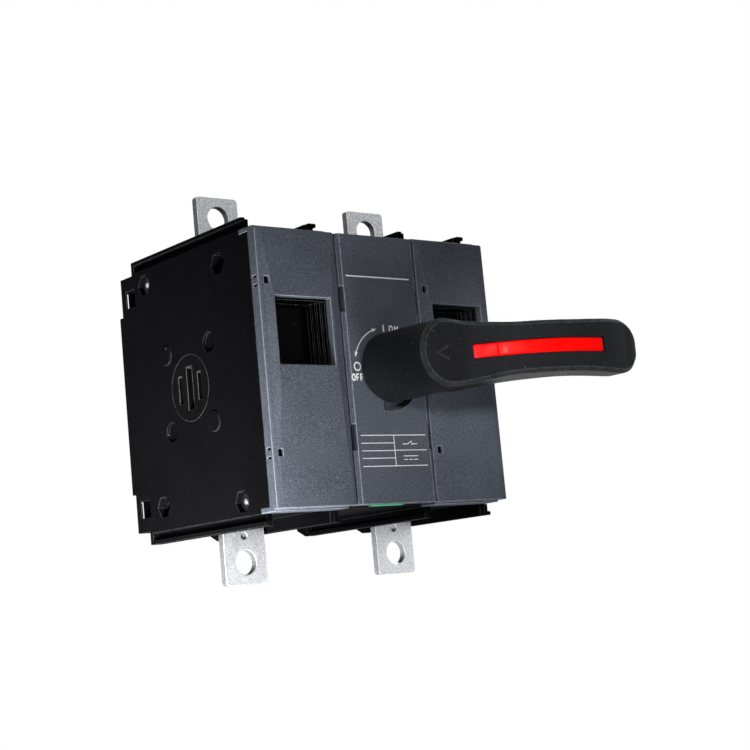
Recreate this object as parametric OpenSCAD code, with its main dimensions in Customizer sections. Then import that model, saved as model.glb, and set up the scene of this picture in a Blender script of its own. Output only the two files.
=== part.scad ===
// Two-pole panel-mounted switch disconnector with a direct rotary pistol handle.
// Frame: origin at the centre of the back mounting plane, X to the right, Z up.
// The front faces -Y, so a depth d in this file lies at y = -d.

/* [Front covers] */
// Height of the three front covers
cover_h = 150; // [142:1:170]
// Width of one pole cover
pole_w = 53.3; // [51:0.1:60]
// Width of the mechanism cover
mech_w = 56.4; // [54:0.2:64]
// Gap between neighbouring covers
cover_gap = 0.9; // [0.3:0.1:1.2]
// Thickness of every cover at its side edge
edge_t = 6.4; // [4:0.1:8]
// Width of the chamfer along every cover's side edges
chamfer_w = 2.2; // [1:0.1:3]
// Height of the chamfer along every cover's side edges
chamfer_t = 1.4; // [0.8:0.1:2]
// How far a pole cover's middle stands out beyond its ends
bulge = 2.1; // [1:0.1:3]
// Height at which the bulged face starts to fall towards the top
bulge_high_z = 40; // [38:1:50]
// Height at which the bulged face starts to fall towards the bottom
bulge_low_z = -10; // [-20:1:0]
// Distance of the flat middle of a pole cover from its side edges
bevel_w = 6.9; // [5:0.1:7.2]
// Depth of the cover's plug inside the housing
plug_d = 8.2; // [7.5:0.1:9]
// Wall of the housing beside a cover's plug
plug_wall = 3; // [2:0.5:4]
// Height of the lips above and below a pole cover
lip_h = 1.3; // [0.8:0.1:2]

/* [Windows] */
// Width of a window opening
window_w = 36.8; // [30:0.2:38]
// Height of a window opening
window_h = 37; // [30:0.5:37.5]
// Height of a window's lower edge above the handle axis
window_z = 0.5; // [0:0.5:3]
// Shift of the windows towards the left of their covers
window_shift = 0.6; // [0:0.1:1]
// Thickness of the floor of a window's tray
tray_floor = 1.6; // [1:0.1:2.5]
// Thickness of the walls of a window's tray
tray_wall = 1.2; // [0.8:0.1:2]
// Depth of a window's opening in front of its tray
tray_sunk = 4; // [2:0.5:6]
// Width of one step along a tray's right wall
step_w = 1.3; // [0.8:0.1:2]

/* [Housings] */
// Depth from the mounting plane to the backs of the covers
body_d = 136.8; // [130:0.2:150]
// How far a pole cover overhangs its housing towards the right
overhang = 4.8; // [4:0.1:6]
// Gap between neighbouring housings
module_gap = 0.2; // [0.1:0.05:0.3]
// Height of the recessed foot zone's inner end above the axis
foot_low_z = 52.6; // [50:0.2:55]
// Step of the foot zones in front of the mounting plane
foot_step = 3.5; // [2:0.5:5]
// Depth where the outer left rail starts, in front of the mounting plane
rail_start_d = 16.4; // [14:0.2:22]
// Height of the rails above the housing
rail_h = 7.7; // [7:0.1:9]
// Width of a pole's left rail
left_rail_w = 7.1; // [5:0.1:8]
// Depth of the groove under a pole's left lip
groove_deep = 3.3; // [1.5:0.1:4]
// Height of the groove under a pole's left lip
groove_h = 4.4; // [3:0.1:5]
// Length of the closed end of that groove
groove_stop = 3; // [2:0.5:5]
// Thickness of a pole's left lip, above its groove
left_lip_t = 2.3; // [1.5:0.1:2.5]
// Width of a pole's right rail
right_rail_w = 3.6; // [2.5:0.1:6]
// How far a pole's right lip stands over the next housing
right_lip_l = 2.1; // [1:0.1:3]
// Thickness of a pole's right lip
right_lip_t = 2.2; // [1.5:0.1:3]
// Depth where the rails with a cut corner start
tail_d = 9; // [7:0.2:12]
// Length of a rail's cut corner
tail_l = 8; // [5:0.5:10]
// Height of a rail's cut corner
tail_h = 4; // [2:0.2:5]

/* [Terminals] */
// Width of a terminal bar
terminal_w = 28; // [24:0.5:32]
// Thickness of a terminal bar
terminal_t = 4.7; // [3:0.1:6]
// Height of a terminal's tip above the axis
terminal_tip_z = 111; // [108:1:120]
// Depth of a terminal's middle plane in front of the mounting plane
terminal_d = 69; // [60:1:80]
// Radius of the cable lug hole
lug_hole_r = 7; // [4.5:0.5:8]
// Height of the cable lug hole above the axis
lug_hole_z = 98.6; // [96:0.2:100]
// Radius of the small hole beside the housing
small_hole_r = 2; // [1:0.25:2.5]
// Height of the small hole above the axis
small_hole_z = 84; // [82:0.5:86]
// Shift of the terminals from the middle of their covers towards the handle axis
terminal_shift = 0.5; // [0:0.1:1.5]
// Radius of a terminal's corners
terminal_corner_r = 2; // [1:0.5:4]
// Length of a terminal inside the housing
terminal_seat_l = 22; // [15:1:28]
// Clearance between a fixed piece and its pocket
fit_gap = 0.15; // [0.05:0.05:0.25]

/* [Contact rotor] */
// Radius of the rotor's end discs
disc_r = 18.8; // [16:0.2:21]
// Thickness of an end disc
disc_t = 6; // [4:0.5:9]
// Radius of the rotor between its discs
rotor_r = 12.5; // [9:0.5:14]
// Depth of the rotor's axis in front of the mounting plane
rotor_d = 70; // [66:1:74]
// Radial running clearance of the rotor and of the drive shaft
running_gap = 0.08; // [0.03:0.01:0.1]
// Width of the middle coupling slot in a disc
slot_w = 5.8; // [4:0.2:7]
// Length of the middle coupling slot
slot_l = 24; // [18:0.5:28]
// Width of the two outer coupling slots
side_slot_w = 3.5; // [2.5:0.1:4]
// Length of the two outer coupling slots
side_slot_l = 15.5; // [10:0.5:18]
// Distance of an outer coupling slot from the middle one
side_slot_x = 9.7; // [8:0.1:11]
// Depth of the coupling slots
slot_deep = 4; // [2:0.5:5]

/* [Tie bolts] */
// Radius of a tie bolt's shank
tie_r = 2.9; // [2:0.1:3]
// Radius of a tie bolt's head
tie_head_r = 4.8; // [3.8:0.1:5]
// Thickness of a tie bolt's head and of its nut
tie_head_t = 3.5; // [2.5:0.5:4]
// Radius of a tie nut across its corners
tie_nut_r = 5.7; // [5:0.1:5.8]
// Radius of a nut recess across its corners
nut_recess_r = 6.4; // [6:0.1:6.8]
// Depth of a nut recess
nut_recess_deep = 6.2; // [5:0.2:7]
// Depth of the upper tie bolt in front of the mounting plane
tie_high_d = 29.5; // [27:0.5:34]
// Height of the upper tie bolt above the axis
tie_high_z = 67; // [60:0.5:67.2]
// Depth of the lower tie bolt in front of the mounting plane
tie_low_d = 112; // [106:0.5:114]
// Distance of the lower tie bolt below the axis
tie_low_z = 68.2; // [60:0.2:68.4]

/* [Fixing holes] */
// Radius of the fixing screw holes in the back
fixing_r = 2.6; // [2:0.1:3]
// Depth of the fixing screw holes
fixing_deep = 16; // [10:1:18]
// Height of a fixing screw hole above the axis
fixing_z = 62.5; // [60:0.5:64]

/* [Handle] */
// Radius of the handle's hub
hub_r = 19.5; // [17:0.5:20]
// Depth of the hub's front face in front of the mounting plane
hub_front_d = 197; // [190:1:205]
// Gap between the hub and the mechanism cover
hub_gap = 1; // [0.5:0.1:2]
// Fillet round the hub's front edge
hub_fillet = 3.5; // [2:0.5:6]
// Reach of the handle from its axis to the grip's tip
grip_reach = 114.5; // [110:0.5:130]
// Depth of the grip's front face at its foremost place
grip_front_d = 231; // [228:1:240]
// Depth of the grip's back face at its foremost place
grip_back_d = 215; // [206:1:218]
// Half height of the grip at its waist
waist_z = 14.2; // [12:0.2:15]
// Half height of the grip near its tip
palm_z = 15.4; // [13:0.1:18]
// Gap between the neck of the handle and the pole covers
neck_gap = 5.2; // [5.1:0.1:8]
// Reach of the neck from the axis
neck_x = 40; // [36:1:44]
// Half height of the coloured insert
insert_z = 3.8; // [2.5:0.1:5]
// Thickness of the coloured insert
insert_t = 3; // [2:0.5:4]
// How far the insert lies below the handle's face
insert_sunk = 0.4; // [0.2:0.1:0.8]
// Distance from the axis to the insert's inner end
insert_start_x = 15.5; // [13:0.5:18]
// Distance from the axis to the insert's outer end
insert_end_x = 82.5; // [70:0.5:88]
// Radius of the drive shaft
shaft_r = 6; // [4:0.5:7]
// Side of the drive shaft's square end
shaft_square = 8; // [6:0.25:8.25]
// Depth of the drive shaft's inner end in front of the mounting plane
shaft_start_d = 114; // [108:1:118]
// Length of the square end inside the hub
shaft_square_l = 26; // [18:1:34]
// Wall of the shaft's bearing
bearing_wall = 5; // [3:0.5:6]

/* [Hidden] */
$fn = 64;

thread_gap = 0.01;
through = 400;
half_h = cover_h / 2;
seam_x = mech_w / 2;
side_x = seam_x + pole_w;
side_edge_d = body_d + edge_t;
mech_front_d = side_edge_d + chamfer_t;
pole_front_d = mech_front_d + bulge;
plug_back_d = body_d - plug_d;
tray_seat = 2;
tray_back_d = plug_back_d + tray_seat;
pole_body_w = pole_w - overhang;
left_x = -side_x;
right_x = seam_x;
mech_x = left_x + pole_body_w + module_gap;
mech_body_w = right_x - module_gap - mech_x;
pole_split = pole_body_w / 2;
cover_mid_x = seam_x + pole_w / 2;
terminal_x = cover_mid_x - terminal_shift;

// heights of the housing: inside the lips, at its crease, and at the rails' tops
lip_low_z = half_h - lip_h;
core_rise = 0.2;
core_z = half_h + core_rise;
rail_z = core_z + rail_h;
lip_top_z = half_h + lip_h;
rail_low_z = lip_top_z + fit_gap;
lip_back = 2;
rail_seat = 3;
lip_front_d = side_edge_d - lip_back;
rail_end_d = plug_back_d + rail_seat;

black = [0.10, 0.10, 0.11];
grey = [0.30, 0.32, 0.36];
gloss = [0.03, 0.03, 0.04];
tin = [0.80, 0.81, 0.83];
steel = [0.62, 0.63, 0.65];
red = [0.90, 0.08, 0.05];
green = [0.05, 0.62, 0.35];

// places 2D shapes drawn as (depth, height) and extrudes them along X
module along_x(x_low, w) {
    translate([x_low + w, 0, 0]) rotate([90, 0, -90]) linear_extrude(w) children();
}

// places 2D shapes drawn as (x, height) and extrudes them forwards from a depth
module forwards(d_low, d_high) {
    rotate([90, 0, 0]) translate([0, 0, d_low]) linear_extrude(d_high - d_low) children();
}

// places 2D shapes drawn as (x, depth) and extrudes them along Z
module upwards(z_low, z_high) {
    mirror([0, 1, 0]) translate([0, 0, z_low]) linear_extrude(z_high - z_low) children();
}

// a cylinder along X whose axis lies at a depth and a height
module round_x(x_low, w, d, z, r) {
    translate([x_low, -d, z]) rotate([0, 90, 0]) cylinder(h = w, r = r);
}

// a hexagonal bar along X with two of its corners level with its axis
module hex_x(x_low, w, d, z, r) {
    translate([x_low, -d, z]) rotate([0, 90, 0]) rotate([0, 0, 30]) cylinder(h = w, r = r, $fn = 6);
}

module slab(x_low, x_high, d_low, d_high, z_low, z_high) {
    translate([x_low, -d_high, z_low]) cube([x_high - x_low, d_high - d_low, z_high - z_low]);
}

// ---- housings ----

// side outline of a housing's core in depth and height
module core_outline() {
    upper = [
        [0, foot_low_z], [foot_step, foot_low_z], [foot_step, core_z], [plug_back_d, core_z],
        [plug_back_d, lip_low_z - fit_gap], [body_d, lip_low_z - fit_gap]];
    lower = [for (i = [len(upper) - 1 : -1 : 0]) [upper[i][0], -upper[i][1]]];
    polygon(concat(upper, lower));
}

// repeats what is drawn above the housing below it as well
module above_and_below() {
    for (side = [0, 1]) mirror([0, 0, side]) children();
}

// a rail seen from the side: it reaches under the cover's lip in front; behind, it ends
// square on the outer left and with a cut corner everywhere else
module rail_outline(square_end) {
    behind = square_end
        ? [[rail_start_d, core_z - 1], [rail_start_d, rail_z]]
        : [[tail_d, core_z - 1], [tail_d, rail_z - tail_h], [tail_d + tail_l, rail_z]];
    polygon(concat(behind, [[rail_end_d, rail_z], [rail_end_d, rail_low_z],
                            [plug_back_d, rail_low_z], [plug_back_d, core_z - 1]]));
}

module rail(square_end) {
    intersection() {
        forwards(0, body_d) children();
        along_x(-through, 2 * through) rail_outline(square_end);
    }
}

// a pole's left rail has a lip over a groove that is closed behind
module left_rail(x_low) {
    groove_high_z = rail_z - left_lip_t;
    difference() {
        rail(x_low < 0) translate([x_low, core_z - 1]) square([left_rail_w, rail_h + 1]);
        slab(x_low - 1, x_low + groove_deep, rail_start_d + groove_stop, through,
             groove_high_z - groove_h, groove_high_z);
    }
}

// a pole's right rail is a plain wall with a lip that stands over the next housing
module right_rail(x_high) {
    rail(false) {
        translate([x_high - right_rail_w, core_z - 1]) square([right_rail_w, rail_h + 1]);
        translate([x_high - 1, rail_z - right_lip_t]) square([right_lip_l + 1, right_lip_t]);
    }
}

// the pocket for a cover's plug in a housing
module plug_pocket(x_low, x_high) {
    slab(x_low + plug_wall, x_high - plug_wall, plug_back_d, body_d + 1, -through, through);
}

module hex_recess(x, dir, d, z) {
    x_low = dir > 0 ? x - 1 : x - nut_recess_deep;
    hex_x(x_low, nut_recess_deep + 1, d, z, nut_recess_r);
}

// pegs stand out of a side face and fit recesses in the next module
peg_r = 5.5;
peg_t = 0.8;
peg_offset = 22;
module pegs(x_side) {
    for (s = [-1, 1])
        round_x(x_side - peg_t, peg_t + 1, rotor_d - s * peg_offset, s * peg_offset, peg_r);
}

module peg_recesses(x_side) {
    for (s = [-1, 1])
        round_x(x_side - 1, 1 + peg_t + 1, rotor_d + s * peg_offset, s * peg_offset, peg_r + fit_gap);
}

foot_window_low_d = 8.6;
foot_window_low_z = 57;
foot_window_w = 10;
foot_window_deep = 9;
foot_window_wall = 1.2;
// square windows in the outer sides of the feet; the pocket inside is open behind
module foot_windows(x_side, dir) {
    x_low = dir > 0 ? x_side - 1 : x_side - foot_window_deep;
    x_open = dir > 0 ? x_side + foot_window_wall : x_low;
    high_z = foot_window_low_z + foot_window_w;
    above_and_below() {
        slab(x_low, x_low + foot_window_deep + 1,
             foot_window_low_d, foot_window_low_d + foot_window_w, foot_window_low_z, high_z);
        slab(x_open, x_open + foot_window_deep - foot_window_wall,
             -1, foot_window_low_d + 1, foot_window_low_z, high_z);
    }
}

module terminal_pocket(x_mid, side) {
    z_high = terminal_tip_z;
    z_low = core_z - terminal_seat_l;
    w = terminal_w / 2 + fit_gap;
    t = terminal_t / 2 + fit_gap;
    mirror([0, 0, side > 0 ? 0 : 1])
        slab(x_mid - w, x_mid + w, terminal_d - t, terminal_d + t, z_low, z_high);
}

head_gap = 1;
spare_z = 62.8;
spare_high_d = 106.5;
spare_low_d = 33.5;
module pole_housing(x_low, x_mid) {
    x_high = x_low + pole_body_w;
    difference() {
        union() {
            along_x(x_low, pole_body_w) core_outline();
            above_and_below() {
                left_rail(x_low);
                right_rail(x_high);
            }
            if (x_low < 0) pegs(x_low);
        }
        plug_pocket(x_low, x_high);
        for (side = [-1, 1]) {
            terminal_pocket(x_mid, side);
            translate([x_mid, 0, side * fixing_z]) rotate([90, 0, 0])
                cylinder(h = fixing_deep + foot_step, r = fixing_r);
        }
        // rotor bores: wide at both sides for the discs, narrow between them
        round_x(x_low - 1, pole_body_w + 2, rotor_d, 0, rotor_r + running_gap);
        if (x_low < 0) round_x(x_low - 1, 1 + disc_t + fit_gap, rotor_d, 0, disc_r + running_gap);
        else round_x(x_high - disc_t - fit_gap, disc_t + fit_gap + 1, rotor_d, 0, disc_r + running_gap);
        // tie bolts, nuts on the left and heads on the right
        for (at = [[tie_high_d, tie_high_z], [tie_low_d, -tie_low_z]]) {
            round_x(x_low - 1, pole_body_w + 2, at[0], at[1], tie_r + fit_gap);
            hex_recess(x_low, 1, at[0], at[1]);
            round_x(x_high - nut_recess_deep, nut_recess_deep + 1, at[0], at[1], tie_head_r + head_gap);
        }
        hex_recess(x_low, 1, spare_high_d, spare_z);
        hex_recess(x_low, 1, spare_low_d, -spare_z);
        if (x_low < 0) peg_recesses(x_low);
        if (x_low < 0) foot_windows(x_low, 1);
        else foot_windows(x_high, -1);
    }
}

// keeps the part of a pole housing left (1) or right (-1) of its parting plane
module half_shell(x_low, x_mid, part) {
    split_x = x_low + pole_split;
    intersection() {
        pole_housing(x_low, x_mid);
        if (part > 0) slab(split_x - through, split_x, -1, body_d + 1, -through, through);
        else slab(split_x, split_x + through, -1, body_d + 1, -through, through);
    }
}

module left_pole_shell_outer() { color(black) half_shell(left_x, -terminal_x, 1); }
module left_pole_shell_inner() { color(black) half_shell(left_x, -terminal_x, -1); }
module right_pole_shell_inner() { color(black) half_shell(right_x, terminal_x, 1); }
module right_pole_shell_outer() { color(black) half_shell(right_x, terminal_x, -1); }

module mechanism_housing() {
    color(black) difference() {
        along_x(mech_x, mech_body_w) core_outline();
        plug_pocket(mech_x, mech_x + mech_body_w);
        round_x(mech_x - 1, mech_body_w + 2, rotor_d, 0, rotor_r + running_gap);
        forwards(bearing_start_d - fit_gap, body_d + 1) circle(r = bearing_r + fit_gap);
        forwards(shaft_start_d - shaft_end_gap, body_d) circle(r = shaft_r + shaft_hole_gap);
    }
}

// ---- covers ----

// side profile of a pole cover: flat in the middle, falling back towards both ends
module pole_profile() {
    polygon([
        [body_d, -half_h], [mech_front_d, -half_h], [pole_front_d, bulge_low_z],
        [pole_front_d, bulge_high_z], [mech_front_d, half_h], [body_d, half_h]]);
}

// plan section of a cover: a chamfer along each side edge, then a flatter bevel on a pole cover
module cover_section(x_low, x_high, front_d, bevel) {
    polygon([
        [x_low, body_d], [x_low, side_edge_d], [x_low + chamfer_w, mech_front_d],
        [x_low + bevel, front_d], [x_high - bevel, front_d],
        [x_high - chamfer_w, mech_front_d], [x_high, side_edge_d], [x_high, body_d]]);
}

latch_z = 46;
latch_x = 4;
latch_w = 2.4;
latch_h = 4;
latch_deep = 4;
latch_slot_low_d = 138.4;
latch_slot_w = 3.2;
latch_slot_h = 1.2;
latch_slot_deep = 1.5;
module pole_cover(x_low, x_high, body_x) {
    window_mid_x = (x_low + x_high) / 2 - window_shift;
    w = window_w / 2;
    difference() {
        union() {
            intersection() {
                upwards(-half_h, half_h) cover_section(x_low, x_high, pole_front_d, bevel_w);
                along_x(x_low, x_high - x_low) pole_profile();
            }
            // the plug in the housing, and the lips over its top and bottom
            slab(body_x + plug_wall + fit_gap, body_x + pole_body_w - plug_wall - fit_gap,
                 plug_back_d + fit_gap, body_d, -lip_low_z, lip_low_z);
            above_and_below()
                slab(x_low, body_x + pole_body_w, plug_back_d + fit_gap, lip_front_d,
                     lip_low_z, lip_top_z);
        }
        slab(window_mid_x - w, window_mid_x + w, tray_back_d, through,
             window_z, window_z + window_h);
        // room for the lower tie bolt's nut and head, should they lie as far forward as the plug
        round_x(x_low - 1, x_high - x_low + 2, tie_low_d, -tie_low_z, nut_recess_r);
        // a latch pocket in the left bevel, and two slots in the left side behind it
        above_and_below() {
            slab(x_low + latch_x - latch_w / 2, x_low + latch_x + latch_w / 2,
                 mech_front_d - latch_deep, through, latch_z - latch_h / 2, latch_z + latch_h / 2);
            for (s = [-1, 1])
                slab(x_low - 1, x_low + latch_slot_deep,
                     latch_slot_low_d, latch_slot_low_d + latch_slot_w,
                     latch_z + s * latch_w - latch_slot_h / 2, latch_z + s * latch_w + latch_slot_h / 2);
        }
    }
}

module left_pole_cover() { color(grey) pole_cover(-side_x, -seam_x - cover_gap / 2, left_x); }
module right_pole_cover() { color(grey) pole_cover(seam_x + cover_gap / 2, side_x, right_x); }

// a gloss tray in a window's opening, with steps along its right wall
steps = 3;
module window(x_low, x_high) {
    mid_x = (x_low + x_high) / 2 - window_shift;
    w = window_w / 2 - fit_gap;
    z_low = window_z + fit_gap;
    z_high = window_z + window_h - fit_gap;
    floor_d = tray_back_d + tray_floor;
    rim_d = pole_front_d - tray_sunk;
    difference() {
        slab(mid_x - w, mid_x + w, tray_back_d, rim_d, z_low, z_high);
        slab(mid_x - w + tray_wall, mid_x + w - tray_wall - steps * step_w, floor_d, through,
             z_low + tray_wall, z_high - tray_wall);
        for (i = [1 : steps])
            slab(mid_x, mid_x + w - tray_wall - (steps - i) * step_w,
                 floor_d + i * (rim_d - floor_d) / (steps + 1), through,
                 z_low + tray_wall, z_high - tray_wall);
    }
}

module left_window() { color(gloss) window(-side_x, -seam_x - cover_gap / 2); }
module right_window() { color(gloss) window(seam_x + cover_gap / 2, side_x); }

notch_w = 2.2;
notch_h = 14.5;
notch_low_z = 31;
sector_r = 23.8;
sector_deep = 4;
sector_edge = 4.5;
module mechanism_cover() {
    x_edge = seam_x - cover_gap / 2;
    color(grey) difference() {
        union() {
            upwards(-half_h, half_h) cover_section(-x_edge, x_edge, mech_front_d, 2 * chamfer_w);
            slab(mech_x + plug_wall + fit_gap, mech_x + mech_body_w - plug_wall - fit_gap,
                 plug_back_d + fit_gap, body_d, -lip_low_z, lip_low_z);
        }
        forwards(plug_back_d - 1, through) circle(r = bearing_r + fit_gap);
        // a sector round the shaft, from six o'clock to three o'clock
        forwards(mech_front_d - sector_deep, through) intersection() {
            circle(r = sector_r);
            translate([-sector_edge, -through + sector_edge]) square(through);
        }
        for (s = [-1, 1], z = [notch_low_z, -notch_low_z - notch_h])
            slab(s > 0 ? x_edge - notch_w : -x_edge - 1, s > 0 ? x_edge + 1 : -x_edge + notch_w,
                 body_d, through, z, z + notch_h);
    }
}

strip_low_x = -18;
strip_w = 22;
strip_l = 3.8;
strip_t = 0.7;
module green_strip() {
    color(green) slab(strip_low_x, strip_low_x + strip_w, side_edge_d - strip_l, side_edge_d,
                      -half_h - strip_t, -half_h);
}

// ---- current path ----

// side is 1 for an upper terminal and -1 for a lower one
module terminal(x_mid, side) {
    z_low = core_z - terminal_seat_l + fit_gap;
    w = terminal_w / 2;
    r = terminal_corner_r;
    color(tin) translate([x_mid, 0, 0]) mirror([0, 0, side > 0 ? 0 : 1])
        forwards(terminal_d - terminal_t / 2, terminal_d + terminal_t / 2) difference() {
            union() {
                translate([-w, z_low]) square([2 * w, terminal_tip_z - r - z_low]);
                translate([-w + r, z_low]) square([2 * (w - r), terminal_tip_z - z_low]);
                for (s = [-1, 1]) translate([s * (w - r), terminal_tip_z - r]) circle(r = r);
            }
            translate([0, lug_hole_z]) circle(r = lug_hole_r);
            translate([0, small_hole_z]) circle(r = small_hole_r);
        }
}

module terminal_upper_left() { terminal(-terminal_x, 1); }
module terminal_lower_left() { terminal(-terminal_x, -1); }
module terminal_upper_right() { terminal(terminal_x, 1); }
module terminal_lower_right() { terminal(terminal_x, -1); }

// the coupling slots in a rotor disc, seen along X
module disc_slots() {
    square([slot_w, slot_l], center = true);
    for (s = [-1, 1]) translate([s * side_slot_x, 0])
        square([side_slot_w, side_slot_l], center = true);
}

module contact_rotor() {
    x_low = left_x + fit_gap;
    x_high = right_x + pole_body_w - fit_gap;
    color(black) difference() {
        union() {
            round_x(x_low, x_high - x_low, rotor_d, 0, rotor_r);
            round_x(x_low, disc_t, rotor_d, 0, disc_r);
            round_x(x_high - disc_t, disc_t, rotor_d, 0, disc_r);
        }
        for (x = [x_low - 1, x_high - slot_deep])
            along_x(x, slot_deep + 1) translate([rotor_d, 0]) disc_slots();
    }
}

// ---- tie bolts ----

tie_end_l = 0.8;
module tie_bolt(x_low, d, z) {
    x_start = x_low + nut_recess_deep - tie_head_t - tie_end_l;
    x_seat = x_low + pole_body_w - nut_recess_deep;
    color(steel) {
        round_x(x_start, x_seat - x_start + 1, d, z, tie_r);
        round_x(x_seat, tie_head_t, d, z, tie_head_r);
    }
}

module tie_nut(x_low, d, z) {
    color(steel) difference() {
        hex_x(x_low + nut_recess_deep - tie_head_t, tie_head_t, d, z, tie_nut_r);
        round_x(x_low, nut_recess_deep + 1, d, z, tie_r + thread_gap);
    }
}

module tie_bolt_left_upper() { tie_bolt(left_x, tie_high_d, tie_high_z); }
module tie_bolt_left_lower() { tie_bolt(left_x, tie_low_d, -tie_low_z); }
module tie_bolt_right_upper() { tie_bolt(right_x, tie_high_d, tie_high_z); }
module tie_bolt_right_lower() { tie_bolt(right_x, tie_low_d, -tie_low_z); }
module tie_nut_left_upper() { tie_nut(left_x, tie_high_d, tie_high_z); }
module tie_nut_left_lower() { tie_nut(left_x, tie_low_d, -tie_low_z); }
module tie_nut_right_upper() { tie_nut(right_x, tie_high_d, tie_high_z); }
module tie_nut_right_lower() { tie_nut(right_x, tie_low_d, -tie_low_z); }

// ---- shaft and handle ----

bearing_r = shaft_r + bearing_wall;
bearing_start_d = 122;
shaft_hole_gap = 0.4;
shaft_end_gap = 2;
hub_base_d = mech_front_d + hub_gap;
collar_l = 8;
square_end_d = hub_base_d + collar_l + shaft_square_l;

module shaft_bearing() {
    color(grey) forwards(bearing_start_d, mech_front_d) difference() {
        circle(r = bearing_r);
        circle(r = shaft_r + running_gap);
    }
}

module drive_shaft() {
    color(steel) {
        forwards(shaft_start_d, hub_base_d + collar_l) circle(r = shaft_r);
        forwards(hub_base_d + collar_l - 1, square_end_d) square(shaft_square, center = true);
    }
}

// The grip's front and back faces are two arcs in plan. They are given by the
// radius, by the distance of the crown from the axis, and by the crown's depth.
front_arc_r = 86;
front_crown_x = 83;
back_arc_r = 56;
back_crown_x = neck_x + back_arc_r;
grip_least_t = 8;
cap_front_l = 12;
cap_back_l = 10;
cap_share = 0.68;
palm_l = 18;
palm_power = 2.3;
cap_front_x = grip_reach - cap_front_l;
cap_back_x = grip_reach - cap_back_l;
tip_x = grip_reach - palm_l;
waist_x = 62;
neck_corner = 3;
waist_start_x = neck_x - neck_corner;
hub_draft = 1.1;
blend = 4;
slot_high = 9;
face_steps = 18;
back_steps = 11;
side_steps = 23;

function arc_d(x, crown_x, crown_d, r) =
    crown_d - r + sqrt(max(0, r * r - (x - crown_x) * (x - crown_x)));
function soft_max(a, b) =
    max(a, b) + pow(max(blend - abs(a - b), 0), 2) / (4 * blend);
function front_d(x) = soft_max(hub_front_d, arc_d(x, front_crown_x, grip_front_d, front_arc_r));
function back_d(x) =
    min(arc_d(x, back_crown_x, grip_back_d, back_arc_r), front_d(x) - grip_least_t);
function ease(t) = t <= 0 ? 0 : t >= 1 ? 1 : t * t * (3 - 2 * t);
function grip_z(x) =
    hub_r - (hub_r - waist_z) * ease(x / waist_start_x)
    + (palm_z - waist_z) * ease((x - waist_x) / (tip_x - waist_x));

// stations along the front face, close together where it leaves the hub's flat front
bend_rise = hub_front_d - blend - grip_front_d + front_arc_r;
bend_x = front_crown_x - sqrt(max(0, front_arc_r * front_arc_r - bend_rise * bend_rise));
face_power = 1.5;
face_x = [for (i = [0 : face_steps])
    bend_x + (cap_front_x - bend_x) * pow(i / face_steps, face_power)];

// plan outline of the handle's neck and grip
module grip_plan() {
    neck_d = pole_front_d + neck_gap;
    back_end_d = back_d(cap_back_x);
    cap_mid_d = back_end_d + cap_share * (front_d(cap_front_x) - back_end_d);
    front = [for (x = face_x) [x, front_d(x)]];
    cap = [for (a = [75 : -15 : -75]) a >= 0
        ? [cap_front_x + cap_front_l * cos(a), cap_mid_d + (front_d(cap_front_x) - cap_mid_d) * sin(a)]
        : [cap_back_x + cap_back_l * cos(a), cap_mid_d + (cap_mid_d - back_end_d) * sin(a)]];
    back_turn = acos((back_crown_x - cap_back_x) / back_arc_r);
    back = [for (i = [0 : back_steps - 1])
        let (x = back_crown_x - back_arc_r * cos(back_turn * (1 - i / back_steps))) [x, back_d(x)]];
    neck = [[neck_x, neck_d + neck_corner], [neck_x - neck_corner, neck_d], [0, neck_d]];
    polygon(concat([[0, hub_front_d]], front, cap, back, neck));
}

// side outline of the neck and grip in x and height
module grip_side() {
    upper = [for (i = [0 : side_steps - 1]) let (x = tip_x * i / side_steps) [x, grip_z(x)]];
    cap = [for (a = [90 : -9 : 0])
        [tip_x + palm_l * pow(cos(a), 2 / palm_power), palm_z * pow(sin(a), 2 / palm_power)]];
    half = concat(upper, cap);
    polygon(concat(half, [for (i = [len(half) - 2 : -1 : 0]) [half[i][0], -half[i][1]]]));
}

// a band that follows the handle's front face, between two depths below it
module face_band(x_low, x_high, low, high) {
    xs = concat([x_low], [for (x = face_x) if (x > x_low && x < x_high) x], [x_high]);
    n = len(xs);
    polygon(concat(
        [for (x = xs) [x, front_d(x) + high]],
        [for (i = [n - 1 : -1 : 0]) [xs[i], front_d(xs[i]) - low]]));
}

// the hub's draft: its radius, and the neck's height, run in a little towards the front
module draft_outline() {
    half = [[hub_base_d, hub_r], [hub_front_d - hub_fillet, hub_r - hub_draft], [through, hub_r - hub_draft]];
    polygon(concat(half, [for (i = [2 : -1 : 0]) [half[i][0], -half[i][1]]]));
}

module hub_profile() {
    fillet_r = hub_r - hub_draft - hub_fillet;
    fillet_d = hub_front_d - hub_fillet;
    polygon([[0, hub_base_d], [hub_r, hub_base_d], [hub_r - hub_draft, fillet_d],
             [fillet_r, fillet_d], [fillet_r, hub_front_d], [0, hub_front_d]]);
    translate([fillet_r, fillet_d]) circle(r = hub_fillet);
}

insert_low = insert_t + insert_sunk;

module handle_body() {
    square_hole = shaft_square + 2 * fit_gap;
    color(black) difference() {
        union() {
            rotate([90, 0, 0]) rotate_extrude($fn = 96) hub_profile();
            intersection() {
                upwards(-through, through) grip_plan();
                forwards(0, through) grip_side();
                along_x(-1, through) draft_outline();
            }
        }
        upwards(-insert_z - fit_gap, insert_z + fit_gap)
            face_band(insert_start_x - fit_gap, insert_end_x + fit_gap, insert_low, slot_high);
        forwards(hub_base_d - 1, hub_base_d + collar_l) circle(r = shaft_r + fit_gap);
        forwards(hub_base_d, square_end_d) square(square_hole, center = true);
    }
}

module handle_insert() {
    color(red) upwards(-insert_z, insert_z)
        face_band(insert_start_x, insert_end_x, insert_low, -insert_sunk);
}

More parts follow.
